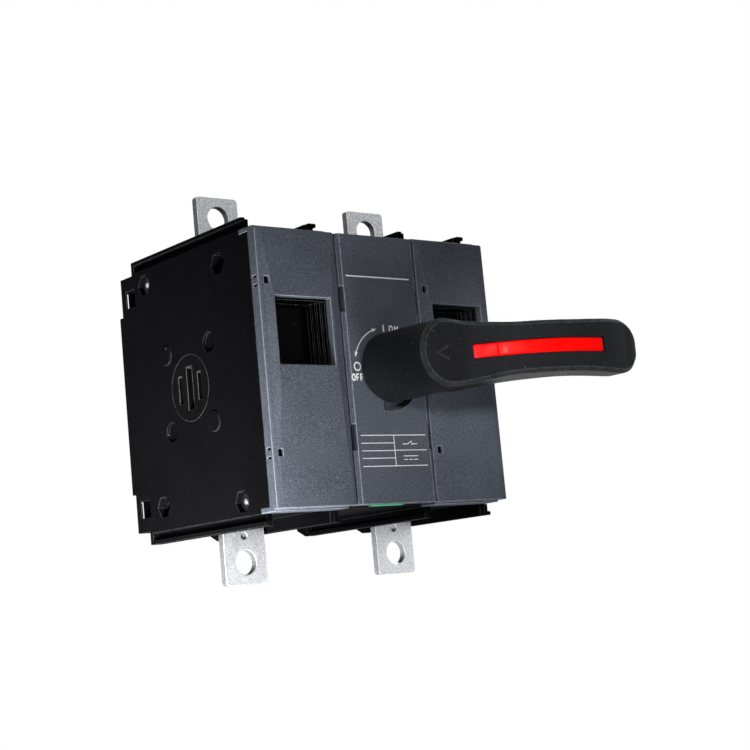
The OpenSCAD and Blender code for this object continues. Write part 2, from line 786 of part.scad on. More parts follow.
left_pole_shell_outer();
left_pole_shell_inner();
right_pole_shell_inner();
right_pole_shell_outer();
mechanism_housing();
left_pole_cover();
right_pole_cover();
mechanism_cover();
left_window();
right_window();
green_strip();
contact_rotor();
shaft_bearing();
drive_shaft();
handle_body();
handle_insert();
terminal_upper_left();
terminal_lower_left();
terminal_upper_right();
terminal_lower_right();
tie_bolt_left_upper();
tie_bolt_left_lower();
tie_bolt_right_upper();
tie_bolt_right_lower();
tie_nut_left_upper();
tie_nut_left_lower();
tie_nut_right_upper();
tie_nut_right_lower();
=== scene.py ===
# %% [markdown]
# # A two-pole switch disconnector
#
# This switch is a row of three black housings with grey covers. Flat copper bars stand
# out above and below, and a pistol handle in front turns a quarter turn. The solids come
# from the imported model, in metres and in one frame: X to the right, Y into the panel
# behind the switch, Z up. The cells below dress them one after the other.

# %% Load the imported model
import math

import bmesh
import bpy
import numpy as np
from mathutils import Matrix, Vector


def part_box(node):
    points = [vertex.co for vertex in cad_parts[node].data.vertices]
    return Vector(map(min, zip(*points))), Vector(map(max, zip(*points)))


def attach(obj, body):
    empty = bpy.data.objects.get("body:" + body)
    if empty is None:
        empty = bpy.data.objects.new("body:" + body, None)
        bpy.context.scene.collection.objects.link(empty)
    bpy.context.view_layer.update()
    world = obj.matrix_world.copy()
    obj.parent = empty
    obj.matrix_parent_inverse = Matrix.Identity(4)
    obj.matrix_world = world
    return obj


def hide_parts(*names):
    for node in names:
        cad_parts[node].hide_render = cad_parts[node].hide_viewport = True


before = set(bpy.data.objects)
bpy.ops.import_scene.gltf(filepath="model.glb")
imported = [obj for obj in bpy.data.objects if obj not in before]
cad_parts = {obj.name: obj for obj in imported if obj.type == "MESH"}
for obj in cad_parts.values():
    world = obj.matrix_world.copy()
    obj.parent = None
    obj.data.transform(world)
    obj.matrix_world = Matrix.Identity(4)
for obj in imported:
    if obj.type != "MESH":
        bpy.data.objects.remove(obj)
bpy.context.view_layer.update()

# %% [markdown]
# ## Millimetres and depths
#
# A maker thinks of this switch in millimetres and in depths in front of the mounting
# panel. So the shapes are worked out as x, depth and height in millimetres, and one
# function turns them into metres with the front facing -Y.

# %% From millimetres to the frame
MM = 0.001


def in_frame(x, depth, z):
    """Points (x, -depth, z) in metres, from arrays in millimetres that fit each other."""
    x, depth, z = np.broadcast_arrays(x, depth, z)
    return np.stack([x, -depth, z], -1) * MM


def box_mm(node):
    """A CAD node's box as (x, depth, z) low and high corners in millimetres."""
    low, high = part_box(node)
    return (np.array([low.x, -high.y, low.z]) / MM, np.array([high.x, -low.y, high.z]) / MM)


hub_low, hub_high = box_mm("handle_body")
face_d = box_mm("mechanism_cover")[1][1]
print("the mechanism cover's face lies", round(face_d, 1), "mm in front of the panel")

# %% [markdown]
# ## Grids become meshes
#
# Every new shape here is a grid of points, worked out with numpy as whole arrays.
# Neighbouring points are joined by quads, and a row or column direction can close on
# itself. Points that fall together, such as at a pole, are merged afterwards, and the
# normals of the closed shell are turned outwards.

# %% A mesh from a grid of points
SAME_PLACE = 1e-7
ROWS_CLOSE = {"loop_rows": True, "loop_columns": False}


def grid_faces(rows, columns, loop_rows, loop_columns, start=0):
    """Quads between the points of a grid that is numbered row by row."""
    index = start + np.arange(rows * columns).reshape(rows, columns)
    if loop_rows:
        index = np.vstack([index, index[:1]])
    if loop_columns:
        index = np.hstack([index, index[:, :1]])
    return np.stack(
        [index[:-1, :-1], index[1:, :-1], index[1:, 1:], index[:-1, 1:]], -1
    ).reshape(-1, 4)


def grid_mesh(name, grids, loop_rows=False, loop_columns=True, smooth_below=35, crest=None):
    """One closed mesh from one or more grids of points, each rows x columns x 3.

    The crest array says how strongly each point's edge is paled, as wear and as a painted
    highlight.
    """
    points, faces, start = [], [], 0
    for grid in grids:
        rows, columns = grid.shape[:2]
        points.append(grid.reshape(-1, 3))
        faces.append(grid_faces(rows, columns, loop_rows, loop_columns, start))
        start += rows * columns
    mesh = bpy.data.meshes.new(name)
    mesh.from_pydata(np.vstack(points).tolist(), [], np.vstack(faces).tolist())
    if crest is not None:
        point_values(mesh, "crest", crest)
    tidy(mesh, smooth_below)
    return mesh


def point_values(mesh, name, values):
    """Stores one number for each point of the mesh, for the shaders to read."""
    mesh.attributes.new(name, "FLOAT", "POINT").data.foreach_set("value", values.ravel())


def tidy(mesh, smooth_below):
    """Merges doubled points, removes faces without area, and smooths between flat angles."""
    work = bmesh.new()
    work.from_mesh(mesh)
    bmesh.ops.remove_doubles(work, verts=work.verts, dist=SAME_PLACE)
    bmesh.ops.dissolve_degenerate(work, edges=work.edges, dist=SAME_PLACE)
    bmesh.ops.recalc_face_normals(work, faces=work.faces)
    work.to_mesh(mesh)
    work.free()
    mesh.shade_smooth()
    mesh.set_sharp_from_angle(angle=math.radians(smooth_below))


# %% [markdown]
# ## Pieces
#
# A piece is a mesh with a finish that rides on a body of the model.

# %% Make a piece and count it
made = []


def add_piece(name, mesh, body, material, stands_for=()):
    """An object for the mesh that rides on the body and may stand for CAD nodes."""
    piece = bpy.data.objects.new(name, mesh)
    bpy.context.collection.objects.link(piece)
    mesh.materials.clear()
    mesh.materials.append(material)
    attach(piece, body)
    if stands_for:
        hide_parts(*stands_for)
    made.append(name)
    return piece


def add_surface(name, grids, body, slot, material, stands_for=(), **how):
    """A piece made of grids, which how closes as grid_mesh says, and its mesh."""
    mesh = grid_mesh(name, grids, **how)
    add_piece(name, mesh, body, material, stands_for)
    return mesh


# %% [markdown]
# ## Shader helpers
#
# Materials are built from nodes. One short function makes a node, fills its sockets and
# links it, so that a material reads as a list of what feeds what.

# %% One shader node


def feed(tree, target, values):
    """Fills input sockets of the target node with values, or links outputs to them."""
    for key, value in values.items():
        if isinstance(value, bpy.types.NodeSocket):
            tree.links.new(value, target.inputs[key])
        else:
            target.inputs[key].default_value = value


def node(tree, kind, values=None, **settings):
    """A shader node; values fill its input sockets and settings its own properties."""
    new = tree.nodes.new(kind)
    for key, value in settings.items():
        setattr(new, key, value)
    feed(tree, new, values or {})
    return new


def new_group(name, inputs, outputs):
    """An empty shader group with named sockets, and its two end nodes."""
    tree = bpy.data.node_groups.new(name, "ShaderNodeTree")
    for label, kind in inputs.items():
        tree.interface.new_socket(label, in_out="INPUT", socket_type=kind)
    for label, kind in outputs.items():
        tree.interface.new_socket(label, in_out="OUTPUT", socket_type=kind)
    return tree, tree.nodes.new("NodeGroupInput"), tree.nodes.new("NodeGroupOutput")


def ramp(tree, value, low, high, out_low=0.0, out_high=1.0):
    """Maps a value from low..high to out_low..out_high and holds it beyond."""
    return node(tree, "ShaderNodeMapRange", {
        "Value": value, "From Min": low, "From Max": high, "To Min": out_low, "To Max": out_high,
    }).outputs["Result"]


def maths(tree, operation, a, b=0.0):
    """The result of one Math node."""
    return node(tree, "ShaderNodeMath", {0: a, 1: b}, operation=operation).outputs[0]


def noise(tree, place, scale, detail, roughness=0.5):
    """A noise of about 0.3 to 0.7, with features about 1 / scale metres across."""
    return node(tree, "ShaderNodeTexNoise", {
        "Vector": place, "Scale": scale, "Detail": detail, "Roughness": roughness,
    }).outputs["Fac"]


NUMBER, VECTOR = "NodeSocketFloat", "NodeSocketVector"
print("shader helpers are ready")

# %% [markdown]
# ## Grain
#
# Switch covers are moulded in spark-eroded tools, which leaves a fine even grain. Its
# relief is a noise just under a millimetre across, with finer detail in it. The same
# noise, with a little of a broad one, varies the tone, because the dips hold less light.

# %% The grain group
grain, grain_in, grain_out = new_group(
    "moulded grain",
    {"Place": VECTOR, "Fineness": NUMBER, "Spread": NUMBER},
    {"Height": NUMBER, "Tone": NUMBER},
)
fine = noise(grain, grain_in.outputs["Place"], grain_in.outputs["Fineness"], 3.0, 0.62)
broad = noise(grain, grain_in.outputs["Place"], 42.0, 3.0)
both = maths(grain, "ADD", maths(grain, "MULTIPLY", fine, 0.8),
             maths(grain, "MULTIPLY", broad, 0.2))
swing = maths(grain, "MULTIPLY", maths(grain, "SUBTRACT", both, 0.5),
              grain_in.outputs["Spread"])
feed(grain, grain_out, {"Height": fine, "Tone": maths(grain, "ADD", swing, 1.0)})
print("grain group:", len(grain.nodes), "nodes")

# %% [markdown]
# ## Specks
#
# Handled plastic carries tiny pale specks of dust. Cells of a Voronoi pattern each get
# a random shade. Only the cells with the lowest shades show a dot, which fades out from
# the cell's own point.

# %% The specks group
specks, specks_in, specks_out = new_group(
    "dust specks",
    {"Place": VECTOR, "Cells": NUMBER, "Share": NUMBER, "Size": NUMBER},
    {"Mask": NUMBER},
)
cells = node(specks, "ShaderNodeTexVoronoi", {
    "Vector": specks_in.outputs["Place"], "Scale": specks_in.outputs["Cells"],
})
shade = node(specks, "ShaderNodeSeparateColor", {"Color": cells.outputs["Color"]}).outputs[0]
chosen = maths(specks, "LESS_THAN", shade, specks_in.outputs["Share"])
dot = maths(specks, "SUBTRACT", 1.0,
            maths(specks, "DIVIDE", cells.outputs["Distance"], specks_in.outputs["Size"]))
mask = node(specks, "ShaderNodeMath", {0: maths(specks, "MULTIPLY", chosen, dot), 1: 1.6},
            operation="MULTIPLY", use_clamp=True).outputs[0]
feed(specks, specks_out, {"Mask": mask})
print("specks group:", len(specks.nodes), "nodes")

# %% [markdown]
# ## Edge wear and painted highlights
#
# Corners get rubbed pale in handling, and the same pale line is also a painted highlight
# where a rounded edge would catch the light. Each rounded edge carries a point attribute
# called crest, which is one along the middle of the round and zero on the flats beside it.
# A noise breaks the line up so that the pale line comes and goes.

# %% The edge wear and painted highlight group
wear_and_glint, glint_in, glint_out = new_group(
    "edge wear and glint", {"Place": VECTOR, "Reach": NUMBER}, {"Mask": NUMBER})
crest = node(wear_and_glint, "ShaderNodeAttribute", attribute_name="crest").outputs["Fac"]
broken = ramp(wear_and_glint, noise(wear_and_glint, glint_in.outputs["Place"], 260.0, 4.0), 0.3, 0.62, 0.25, 1.0)
line = maths(wear_and_glint, "MULTIPLY", crest, broken)
feed(wear_and_glint, glint_out, {"Mask": maths(wear_and_glint, "MULTIPLY", line, glint_in.outputs["Reach"])})
print("edge wear and glint group:", len(wear_and_glint.nodes), "nodes")

# %% [markdown]
# ## Plated metal
#
# The tin on the bars is rolled and rubbed: cloudy spots about a millimetre across, and
# faint scratches along the bar. One group gives the clouds as a tone, and the scratches
# with the clouds as a height. The scratches are a noise that a Mapping node draws out.

# %% The plated metal group
plated, plated_in, plated_out = new_group(
    "plated metal",
    {"Place": VECTOR, "Clouds": NUMBER, "Spread": NUMBER},
    {"Tone": NUMBER, "Height": NUMBER},
)
clouds = noise(plated, plated_in.outputs["Place"], plated_in.outputs["Clouds"], 5.0, 0.68)
along = node(plated, "ShaderNodeMapping", {
    "Vector": plated_in.outputs["Place"], "Scale": (1.0, 1.0, 0.05)}).outputs["Vector"]
scratches = noise(plated, along, 1500.0, 3.0, 0.6)
swing = maths(plated, "MULTIPLY", maths(plated, "SUBTRACT", clouds, 0.5),
              plated_in.outputs["Spread"])
height = maths(plated, "ADD", maths(plated, "MULTIPLY", scratches, 0.6),
               maths(plated, "MULTIPLY", clouds, 0.6))
feed(plated, plated_out, {"Tone": maths(plated, "ADD", swing, 1.0), "Height": height})
print("plated metal group:", len(plated.nodes), "nodes")

# %% [markdown]
# ## The plastics
#
# Each material starts from the Principled shader. What is the same all over, such as
# the specular level, is set on the shader itself. Colour, roughness and bump come from
# the groups: toned grain, then pale edges that are wear and painted highlights, then dust
# over both. The room shows white in every gloss, so the black plastics get almost no
# specular level to stay black in it.

# %% Helpers for a finish


def new_material(name):
    """A node material with its Principled shader and Object coordinates."""
    material = bpy.data.materials.new(name)
    material.use_nodes = True
    tree = material.node_tree
    shader = tree.nodes["Principled BSDF"]
    place = node(tree, "ShaderNodeTexCoord").outputs["Object"]
    return material, tree, shader, place


def use_group(tree, group, **values):
    """A node that runs the group with these values or links."""
    return node(tree, "ShaderNodeGroup", values, node_tree=group)


def toned(tree, colour, tone):
    """The colour times a tone that varies about one."""
    return node(tree, "ShaderNodeVectorMath", {0: colour, 1: tone},
                operation="MULTIPLY").outputs[0]


def blended(tree, mask, under, over):
    """Under where the mask is zero and over where it is one."""
    mixed = node(tree, "ShaderNodeMix", {6: under, 7: over}, data_type="RGBA")
    tree.links.new(mask, mixed.inputs["Factor"])
    return mixed.outputs[2]


def bumped(tree, height, strength, distance):
    """The normal of a relief, through a Bump node."""
    return node(tree, "ShaderNodeBump", {
        "Height": height, "Strength": strength, "Distance": distance}).outputs["Normal"]


def moulded(name, colour, gloss, relief, spread, share, size, rub_and_glint, specular, fineness=1100.0):
    """A moulded plastic: toned grain, pale edges as wear and painted highlight, and specks by
    their share and size.
    """
    material, tree, shader, place = new_material(name)
    skin = use_group(tree, grain, Place=place, Fineness=fineness, Spread=spread)
    dust = use_group(tree, specks, Place=place, Cells=620.0, Share=share, Size=size)
    rubbed_or_lit = use_group(tree, wear_and_glint, Place=place, Reach=rub_and_glint)
    # Rounded edges turn this pale colour, as wear and as a painted highlight.
    pale = tuple(min(1.0, 2.2 * c + 0.05) for c in colour)
    body = toned(tree, colour, skin.outputs["Tone"])
    worn_or_lit = blended(tree, rubbed_or_lit.outputs["Mask"], body, (*pale, 1.0))
    height = skin.outputs["Height"]
    feed(tree, shader, {
        "Base Color": blended(tree, dust.outputs["Mask"], worn_or_lit, (0.42, 0.43, 0.45, 1.0)),
        "Roughness": ramp(tree, height, 0.3, 0.7, gloss - 0.06, gloss + 0.06),
        "Normal": bumped(tree, height, relief, 0.0005),
        "Specular IOR Level": specular})
    return material


# %% The plastics
# Each plastic's edge value also sets how strongly its rounded edges carry a painted highlight;
# the covers' and the rotor's are the strongest.
black_plastic = moulded("black_housing_plastic", (0.0038, 0.0038, 0.0044), gloss=0.55,
                        relief=0.7, spread=2.4, share=0.015, size=0.2, rub_and_glint=0.5,
                        specular=0.003)
grey_plastic = moulded("grey_cover_plastic", (0.092, 0.102, 0.126), gloss=0.58,
                       relief=1.0, spread=2.3, share=0.015, size=0.2, rub_and_glint=1.5,
                       specular=0.02)
handle_plastic = moulded("handle_plastic", (0.0125, 0.0130, 0.0150), gloss=0.40,
                         relief=1.0, spread=3.4, share=0.06, size=0.14, rub_and_glint=0.9,
                         specular=0.04)
# The rotor's high edge value paints a bright highlight ring round its rounded rim.
rotor_plastic = moulded("rotor_plastic", (0.0025, 0.0025, 0.0028), gloss=0.4,
                        relief=0.3, spread=1.0, share=0.03, size=0.16, rub_and_glint=2.0,
                        specular=0.01, fineness=1500.0)
# An extra dark copy of the housing black, which paints the shade inside the cover pockets and
# behind the square windows.
shade_black_plastic = moulded("shade_black_plastic", (0.0012, 0.0012, 0.0014), gloss=0.5,
                       relief=0.3, spread=0.6, share=0.01, size=0.16, rub_and_glint=0.0,
                       specular=0.003, fineness=1500.0)
green_plastic = moulded("green_plastic", (0.02, 0.36, 0.17), gloss=0.4,
                        relief=0.2, spread=0.25, share=0.006, size=0.12, rub_and_glint=0.2,
                        specular=0.5, fineness=2200.0)
print("plastics:", [m.name for m in bpy.data.materials if "plastic" in m.name])

# %% [markdown]
# ## Gloss, red and print
#
# The window trays are polished black, with dust specks, and the bright lines on the edges
# of their steps are painted highlights.
# The handle's insert is a clean satin red that only varies a little. The print is matt
# white ink. Polished surfaces have no relief: only the gloss changes in faint smears.

# %% The gloss black, the red and the ink


def polished(name, colour, gloss, share, specular, rub_and_glint=0.0):
    """A polished plastic: a share of dust specks, pale edges as painted highlights, smears in
    the gloss.
    """
    material, tree, shader, place = new_material(name)
    dust = use_group(tree, specks, Place=place, Cells=480.0, Share=share, Size=0.12)
    rubbed_or_lit = use_group(tree, wear_and_glint, Place=place, Reach=rub_and_glint)
    skin = use_group(tree, grain, Place=place, Fineness=300.0, Spread=0.22)
    body = toned(tree, colour, skin.outputs["Tone"])
    dusty = blended(tree, dust.outputs["Mask"], body, (0.5, 0.5, 0.52, 1.0))
    feed(tree, shader, {
        "Base Color": blended(tree, rubbed_or_lit.outputs["Mask"], dusty, (0.6, 0.6, 0.62, 1.0)),
        "Roughness": ramp(tree, skin.outputs["Height"], 0.35, 0.65, gloss * 0.7, gloss * 1.4),
        "Specular IOR Level": specular})
    return material


# The window trays' edge value paints highlight lines along the edges of their steps.
window_gloss = polished("window_gloss", (0.0015, 0.0015, 0.0018), gloss=0.09, share=0.12,
                        specular=0.02, rub_and_glint=0.18)
insert_red = polished("insert_red", (0.96, 0.002, 0.001), gloss=0.36, share=0.0, specular=0.06)
print_white = polished("print_white", (0.93, 0.94, 0.95), gloss=0.6, share=0.0, specular=0.3)
print("polished:", window_gloss.name, insert_red.name, print_white.name)

# %% [markdown]
# ## Metals
#
# The bars are tin-plated copper. The upper ones are rougher and more mottled than the
# lower ones, and their darker colour is painted shade. Nuts and bolts are blackened, a
# bolt's cut end is bare zinc, and the shaft is bare steel. All use the plated metal
# group, with other clouds and tones. A bar is rolled on its broad faces and sheared and
# drilled elsewhere. A mask from the surface's own direction darkens the faces that don't
# look along Y, as painted shade, most on the upper bars.

# %% The metals


def metal(name, colour, gloss, clouds, spread, relief, cut=1.0):
    """A plated metal: cloudy tone, scratches as bump, paler edges as wear and painted highlight.

    Cut is the tone of the sheared sides and drilled walls, the faces that don't look along
    Y beside the rolled faces; making them darker is painted shade.
    """
    material, tree, shader, place = new_material(name)
    skin = use_group(tree, plated, Place=place, Clouds=clouds, Spread=spread)
    # Rounded edges turn pale, as wear and as a painted highlight.
    rubbed_or_lit = use_group(tree, wear_and_glint, Place=place, Reach=0.7)
    # Faces that don't look along Y get the darker cut tone, which is painted shade.
    facing = node(tree, "ShaderNodeSeparateXYZ", {"Vector": place.node.outputs["Normal"]})
    facing_shade = ramp(tree, maths(tree, "ABSOLUTE", facing.outputs["Y"]), 0.3, 0.8, cut, 1.0)
    body = toned(tree, colour, maths(tree, "MULTIPLY", skin.outputs["Tone"], facing_shade))
    height = skin.outputs["Height"]
    feed(tree, shader, {
        "Base Color": blended(tree, rubbed_or_lit.outputs["Mask"], body, (0.93, 0.93, 0.93, 1.0)),
        "Roughness": ramp(tree, height, 0.35, 0.8, gloss - 0.1, gloss + 0.12),
        "Normal": bumped(tree, height, relief, 0.0002),
        "Metallic": 1.0})
    return material


tin = metal("tin_plating", (0.64, 0.65, 0.68), gloss=0.42, clouds=900.0, spread=1.5,
            relief=0.5, cut=0.7)
# The upper bars use a darker copy of the tin, which is painted shade; it is also rougher and
# more mottled.
shaded_tin = metal("shaded_tin_plating", (0.45, 0.455, 0.48), gloss=0.5, clouds=700.0,
                 spread=2.6, relief=0.8, cut=0.22)
zinc = metal("zinc_plating", (0.60, 0.61, 0.62), gloss=0.34, clouds=1400.0, spread=0.5,
             relief=0.4)
dark_zinc = metal("blackened_zinc", (0.05, 0.05, 0.055), gloss=0.4, clouds=1400.0,
                  spread=0.5, relief=0.4)
steel = metal("shaft_steel", (0.50, 0.50, 0.51), gloss=0.3, clouds=500.0, spread=0.4,
              relief=0.3)
print("metals:", [m.name for m in (tin, shaded_tin, zinc, dark_zinc, steel)])

# %% [markdown]
# ## Housings, covers and bars with softened edges
#
# The solids already have the right shape, but their edges are perfectly sharp, and a
# real moulding never is: the tool's corners have a small radius, and it is this radius
# that catches the light. So each node is copied, its loose triangles are merged, flat
# areas become single faces, and every edge that turns by more than the crease angle is
# rounded. The overlap clamp is off, because one short edge would otherwise shrink every
# radius. Shallower creases stay sharp. A Weighted Normal modifier then keeps the large
# flats flat.
#
# The new faces come back with a material number of their own. That number tells which
# points lie inside a round, and these get the crest attribute for the pale edges, which
# are wear and painted highlights.

# %% A softened copy of a CAD node
LEVEL, FAINT, CREASE = math.radians(0.5), math.radians(5), math.radians(28)


def mark_crests(mesh):
    """Sets crest to one on points that touch only rounded faces, and drops their number."""
    rounded = np.zeros(len(mesh.polygons), int)
    sides, corner = np.zeros(len(mesh.polygons), int), np.zeros(len(mesh.loops), int)
    mesh.polygons.foreach_get("material_index", rounded)
    mesh.polygons.foreach_get("loop_total", sides)
    mesh.loops.foreach_get("vertex_index", corner)
    crest = np.ones(len(mesh.vertices))
    crest[corner[np.repeat(rounded, sides) == 0]] = 0
    point_values(mesh, "crest", crest)
    mesh.polygons.foreach_set("material_index", 0 * rounded)


def softened(node_name, radius_mm, body, material):
    """The CAD node's shape, merged, with edges above the crease angle rounded."""
    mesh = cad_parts[node_name].data.copy()
    mesh.name = node_name + "_soft"
    work = bmesh.new()
    work.from_mesh(mesh)
    bmesh.ops.remove_doubles(work, verts=work.verts, dist=1e-6)
    bmesh.ops.dissolve_limit(work, angle_limit=LEVEL, verts=work.verts, edges=work.edges)
    sharp = [e for e in work.edges if e.calc_face_angle(0) > CREASE]
    bmesh.ops.bevel(work, geom=sharp, offset=radius_mm * MM, offset_type="OFFSET", segments=3,
                    profile=0.5, affect="EDGES", clamp_overlap=False, material=1)
    for edge in work.edges:
        flat = [face.material_index == 0 for face in edge.link_faces]
        edge.smooth = not (all(flat) and edge.calc_face_angle(0) > FAINT)
    for face in work.faces:
        face.smooth = True
    work.to_mesh(mesh)
    work.free()
    mark_crests(mesh)
    piece = add_piece(node_name + "_soft", mesh, body, material, [node_name])
    piece.modifiers.new("flat_faces", "WEIGHTED_NORMAL").keep_sharp = True


HOUSINGS = ["left_pole_shell_outer", "left_pole_shell_inner", "right_pole_shell_inner",
            "right_pole_shell_outer", "mechanism_housing"]
COVERS = ["left_pole_cover", "right_pole_cover", "mechanism_cover"]
BARS = ["terminal_upper_left", "terminal_lower_left", "terminal_upper_right",
        "terminal_lower_right"]

# %% Soften the housings, covers, windows and bars
for name in HOUSINGS:
    softened(name, 0.3, "body", black_plastic)
for name in COVERS:
    softened(name, 0.4, "body", grey_plastic)
for name in ("left_window", "right_window"):
    softened(name, 0.15, "body", window_gloss)
# Upper bars take the darker, painted-shade copy of the tin.
for name in BARS:
    softened(name, 0.35, "body", shaded_tin if "upper" in name else tin)
softened("green_strip", 0.15, "body", green_plastic)
softened("contact_rotor", 0.4, "rotor", rotor_plastic)
softened("shaft_bearing", 0.3, "body", grey_plastic)
softened("drive_shaft", 0.3, "handle", steel)
print("softened:", len(made), "pieces")

# %% [markdown]
# ## Painted shade in the pockets, and foot walls
#
# The covers have no screws; they snap onto the black housings through small pockets. A
# block of extra dark black plastic a little below each pocket's mouth paints the pocket's
# shade, where an empty pocket of the cover's own grey would look lit. The square windows
# near the panel have a thin wall behind them, of the same extra dark black, which leaves a
# slit along the outer side. The rotor's discs lie flush in both sides, so its ends say
# where the sides are. Each block is a ring of four corners that is drawn along its depth
# and closed at both ends.

# %% Painted shade blocks in the pockets, and walls behind the windows


def block_grid(low, high):
    """A block between two corners.

    Four corners about the middle line are repeated at the low and the high depth, and a
    ring without size on the middle line closes each end.
    """
    low, high = np.array(low), np.array(high)
    middle, half = (low + high) / 2, (high - low) / 2
    spread = np.array([[0.0], [1.0], [1.0], [0.0]])
    depth = np.array([[low[1]], [low[1]], [high[1]], [high[1]]])
    return in_frame(middle[0] + spread * half[0] * [-1, 1, 1, -1], depth,
                    middle[2] + spread * half[2] * [-1, -1, 1, 1])


HOOK_Z, SLOT_STEP, FOOT_Z = 46.0, 2.4, 62.0
rotor_low, rotor_high = box_mm("contact_rotor")
for side in ("left", "right"):
    edge_x = box_mm(f"{side}_pole_cover")[0][0]
    flush_x, inward = (rotor_low[0], 1) if side == "left" else (rotor_high[0], -1)
    near_x, far_x = sorted([flush_x + inward * 1.85, flush_x + inward * 8.8])
    for level, up in (("upper", 1), ("lower", -1)):
        z, foot_z = up * HOOK_Z, up * FOOT_Z
        # Blocks of that extra dark black a little below each pocket's mouth paint the pocket's
        # shade.
        pocket_shade_blocks = [block_grid([edge_x + 2.85, 140.7, z - 1.95], [edge_x + 5.15, 144.0, z + 1.95])]
        pocket_shade_blocks += [block_grid([edge_x + 0.4, 138.45, z + step - 0.55],
                             [edge_x + 1.45, 141.55, z + step + 0.55])
                  for step in (-SLOT_STEP, SLOT_STEP)]
        wall = [block_grid([near_x, 8.0, foot_z - 4.95], [far_x, 8.8, foot_z + 4.95])]
        for kind, blocks in (("pocket_shade_blocks", pocket_shade_blocks), ("foot_wall", wall)):
            add_surface(f"{side}_{level}_{kind}", blocks, "body", "black_housing", shade_black_plastic)
print("hooks stand in the pockets:", len(made), "pieces")

# %% [markdown]
# ## The shape of the handle
#
# Seen from above, the handle rises from its round hub, swings forward over the right
# pole and ends in a rounded tip. Its front and back follow two arcs. Seen from the
# front it is a hub, a narrower waist and a wider palm. Both outlines are functions of
# x, so they can be worked out for any number of stations at once.

# %% Depths and heights along the handle
HUB_R, TIP_X = hub_high[2], hub_high[0]
BASE_D, CROWN_D = hub_low[1], hub_high[1] - 0.01
CROWN_X, FRONT_R = 83.0, 86.0
HUB_FRONT_D, HUB_DRAFT = 197.0, 1.1
NECK_BACK_D, NECK_X, NECK_STEP = 151.9, 40.0, 3.0
GRIP_BACK_D, GRIP_BACK_R = 215.0, 56.0
WAIST_R, PALM_RISE, PALM_START_X, PALM_X = 14.2, 1.2, 62, TIP_X - 18.0
CAP_FRONT_X, CAP_BACK_X = TIP_X - 12.0, TIP_X - 10.0


def arc(x, crown_x, crown_d, radius):
    """The depth on a circle whose foremost place is (crown_x, crown_d)."""
    return crown_d - radius + np.sqrt(np.maximum(0, radius**2 - (x - crown_x) ** 2))


def soft_larger(a, b, blend=8.0):
    """The larger of two values, with the corner between them rounded off."""
    return np.maximum(a, b) + np.maximum(blend - np.abs(a - b), 0) ** 2 / (4 * blend)


def eased(t):
    """Goes smoothly from 0 to 1 as t does: 3 t^2 - 2 t^3."""
    t = np.clip(t, 0, 1)
    return t * t * (3 - 2 * t)


def front_line(x):
    """The front's depth: the flat hub runs softly into an arc."""
    return soft_larger(HUB_FRONT_D, arc(x, CROWN_X, CROWN_D, FRONT_R))


def back_line(x):
    """The back's depth: the neck, an eased step, and the arc that hollows the grip."""
    neck = NECK_BACK_D + NECK_STEP * eased((x - NECK_X + 3.5) / 3.5)
    grip = arc(x, NECK_X + GRIP_BACK_R, GRIP_BACK_D, GRIP_BACK_R)
    return np.where(x < NECK_X, neck, np.maximum(NECK_BACK_D + NECK_STEP, grip))


def rounded_tip(x, sign):
    """Front (1) or back (-1) depth; each closes on a quarter ellipse where they meet.

    The slope that the line has where the ellipse starts fades out along it.
    """
    line, start = (front_line, CAP_FRONT_X) if sign > 0 else (back_line, CAP_BACK_X)
    behind, before = back_line(np.array(CAP_BACK_X)), front_line(np.array(CAP_FRONT_X))
    middle = behind + 0.68 * (before - behind)
    edge = line(np.array(start))
    t = np.clip((x - start) / (TIP_X - start), 0, 1)
    slope = (edge - line(np.array(start - 0.1))) / 0.1 * (TIP_X - start)
    capped = middle + (edge - middle) * np.sqrt(1 - t**2) + slope * t * (1 - t) ** 3
    return np.where(x > start, capped, line(x))


def half_height(x):
    """Half the handle's height: hub, waist beyond the neck, palm near the tip."""
    return (HUB_R - (HUB_R - WAIST_R) * eased(x / (NECK_X - 3.0))
            + PALM_RISE * eased((x - PALM_START_X) / (PALM_X - PALM_START_X)))


print("handle front at the crown:", round(float(front_line(np.array(CROWN_X))), 1), "mm")

# %% [markdown]
# ## The handle as one surface
#
# Rows run once round the handle's outline as seen from the front. Each row starts on
# the middle line of the front face, runs outwards, over a chamfer with two small
# rounds, down the side wall, round the back edge and in to the middle of the back. The
# chamfer's rounds carry the crest attribute, which paints two pale highlight lines along
# them. Doubled rows and columns make the walls of the slot for the red insert and of the
# shallow step round it.

# %% The outline's stations
SLOT_X = np.array([15.35, 82.65])
SLOT_Z = 3.95
RIM = 0.9


def handle_stations():
    """For half the outline: edge point, middle-line point, and whether in slot or step.

    The hub is an arc about the axis, the neck and palm follow half_height, and the tip
    is a squarish ellipse, with powers of 2.3, about the point where the palm ends.
    """
    turn = np.radians(np.linspace(180, 90, 30))
    hub = np.stack([HUB_R * np.cos(turn), HUB_R * np.sin(turn), 0 * turn], 1)
    ends = [SLOT_X[0] - RIM, SLOT_X[0], SLOT_X[1], SLOT_X[1] + RIM]
    steep = NECK_X + 4 * np.linspace(0, 1, 12) ** 2.5
    x = np.unique(np.concatenate([np.linspace(1.5, PALM_X, 64), steep, ends]))
    x = np.sort(np.concatenate([x, ends]))
    along = np.stack([x, half_height(x), x], 1)
    turn = np.radians(np.linspace(90, 0, 40)[1:])
    tip = np.stack([PALM_X + (TIP_X - PALM_X) * np.cos(turn).clip(0) ** (2 / 2.3),
                    half_height(PALM_X) * np.sin(turn) ** (2 / 2.3), PALM_X + 0 * turn], 1)
    rows = np.vstack([hub, along, tip])
    return rows, ends


